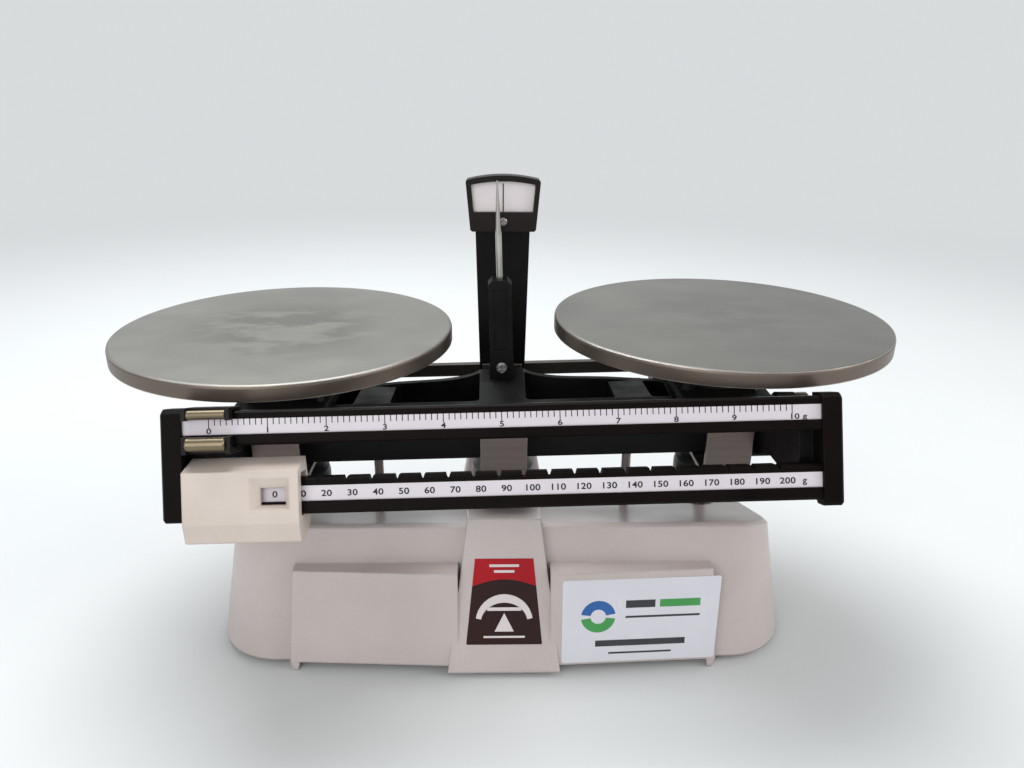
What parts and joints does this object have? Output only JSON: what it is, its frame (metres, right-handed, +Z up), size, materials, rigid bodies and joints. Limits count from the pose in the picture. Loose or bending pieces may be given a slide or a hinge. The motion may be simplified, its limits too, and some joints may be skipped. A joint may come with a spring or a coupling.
{
  "type": "two-pan trip balance",
  "caption": "Equal-arm trip balance with two round plates, graduated front beams with sliding poises, a tare beam behind, and a tall pointer at a dial.",
  "frame": {"origin": "on the table, under the middle of the whole balance; the fulcrum knife edge is 13.4 mm behind it and 95 mm up", "axes": "+X to the right along the beam as the user faces the graduated beams, +Y away from the user, +Z up"},
  "size_m": [0.3527, 0.1792, 0.2052],
  "materials": {
    "housing_paint": "satin off-white enamel on a die casting",
    "rubber": "matt black rubber",
    "cap_dark": "dark moulded cap, satin",
    "bracket_steel": "brushed steel strip",
    "bearing_steel": "hardened ground steel",
    "polished_steel": "polished steel rod",
    "beam_black": "black satin paint on a casting",
    "frame_black": "black satin paint",
    "dial_dark": "dark grey satin",
    "dial_white": "white printed face",
    "screw_steel": "plated steel",
    "link_steel": "plain steel strip",
    "ballast_iron": "rough iron block",
    "scale_white": "white printed strip",
    "needle_black": "black needle",
    "brass": "turned brass",
    "nut_dark": "blackened steel",
    "poise_cream": "smooth off-white paint",
    "poise_black": "black paint",
    "carrier_grey": "dark grey satin paint",
    "plate_steel": "stainless steel, finely brushed, smeared from use"
  },
  "bodies": {
    "base": {"base_housing": "housing_paint", "rubber_feet": "rubber", "fulcrum_post": "cap_dark", "fulcrum_bracket": "bracket_steel", "fulcrum_bearings": "bearing_steel", "stop_posts": "polished_steel", "tower": "beam_black", "dial_housing": "dial_dark", "dial_face": "dial_white", "dial_screw": "screw_steel", "link_hanger": "housing_paint", "link_pivot_pin": "polished_steel"},
    "beam": {"main_beam": "beam_black", "fulcrum_knife": "bearing_steel", "end_ballast": "ballast_iron", "left_knife": "bearing_steel", "right_knife": "bearing_steel", "left_end_plate": "frame_black", "right_end_plate": "frame_black", "left_front_arm": "beam_black", "right_front_arm": "beam_black", "left_rear_arm": "beam_black", "right_rear_arm": "beam_black", "arm_screws": "screw_steel", "upper_beam": "frame_black", "lower_beam": "frame_black", "upper_scale_strip": "scale_white", "lower_scale_strip": "scale_white", "tare_beam": "frame_black", "pointer_holder": "frame_black", "pointer_needle": "needle_black", "pointer_screw": "screw_steel", "zero_stud": "brass"},
    "lower_poise": {"lower_poise_case": "poise_cream", "lower_poise_detent": "link_steel"},
    "upper_poise": {"upper_poise_carrier": "poise_black", "upper_poise_rods": "brass"},
    "tare_poise": {"tare_poise": "poise_black"},
    "zero_adjuster": {"zero_nut": "nut_dark", "zero_lock_nut": "brass"},
    "check_link": {"check_link": "link_steel"},
    "left_pan": {"left_pan_bracket": "bracket_steel", "left_bearings": "bearing_steel", "left_carrier": "carrier_grey", "left_plate_support": "carrier_grey", "left_stem": "polished_steel", "left_dust_cap": "cap_dark", "left_stem_pin": "polished_steel"},
    "left_plate": {"left_plate": "plate_steel"},
    "right_pan": {"right_pan_bracket": "bracket_steel", "right_bearings": "bearing_steel", "right_carrier": "carrier_grey", "right_plate_support": "carrier_grey", "right_stem": "polished_steel", "right_dust_cap": "cap_dark", "right_stem_pin": "polished_steel"},
    "right_plate": {"right_plate": "plate_steel"}
  },
  "joints": [
    {"name": "beam_tilt", "type": "hinge", "parent": "base", "child": "beam", "pos_m": [0, 0.0134, 0.095], "axis": [0, 1, 0], "range_deg": [-1.5, 4.5], "stiffness_Nm_per_rad": 0.5},
    {"name": "left_pan_pivot", "type": "hinge", "parent": "beam", "child": "left_pan", "pos_m": [-0.10017, 0.0134, 0.09238], "axis": [0, 1, 0], "range_deg": [-4.5, 1.5]},
    {"name": "right_pan_pivot", "type": "hinge", "parent": "beam", "child": "right_pan", "pos_m": [0.10017, 0.0134, 0.09762], "axis": [0, 1, 0], "range_deg": [-4.5, 1.5]},
    {"name": "link_tilt", "type": "hinge", "parent": "base", "child": "check_link", "pos_m": [0, 0.0134, 0.021], "axis": [0, 1, 0], "range_deg": [-1.5, 4.5]},
    {"name": "lower_poise_slide", "type": "slide", "parent": "beam", "child": "lower_poise", "axis": [0.9997, 0, 0.0262], "range_m": [0, 0.1894]},
    {"name": "upper_poise_slide", "type": "slide", "parent": "beam", "child": "upper_poise", "axis": [0.9997, 0, 0.0262], "range_m": [0, 0.2153]},
    {"name": "tare_poise_slide", "type": "slide", "parent": "beam", "child": "tare_poise", "axis": [0.9997, 0, 0.0262], "range_m": [-0.19, 0.006]},
    {"name": "zero_adjuster_slide", "type": "slide", "parent": "beam", "child": "zero_adjuster", "axis": [0.9997, 0, 0.0262], "range_m": [-0.003, 0.0015]},
    {"name": "left_plate_lift", "type": "slide", "parent": "left_pan", "child": "left_plate", "axis": [0, 0, 1], "range_m": [0, 0.025]},
    {"name": "right_plate_lift", "type": "slide", "parent": "right_pan", "child": "right_plate", "axis": [0, 0, 1], "range_m": [0, 0.025]}
  ],
  "couplings": [
    {"joint": "left_pan_pivot", "follows": "beam_tilt", "ratio": -1},
    {"joint": "right_pan_pivot", "follows": "beam_tilt", "ratio": -1},
    {"joint": "link_tilt", "follows": "beam_tilt", "ratio": 1}
  ]
}
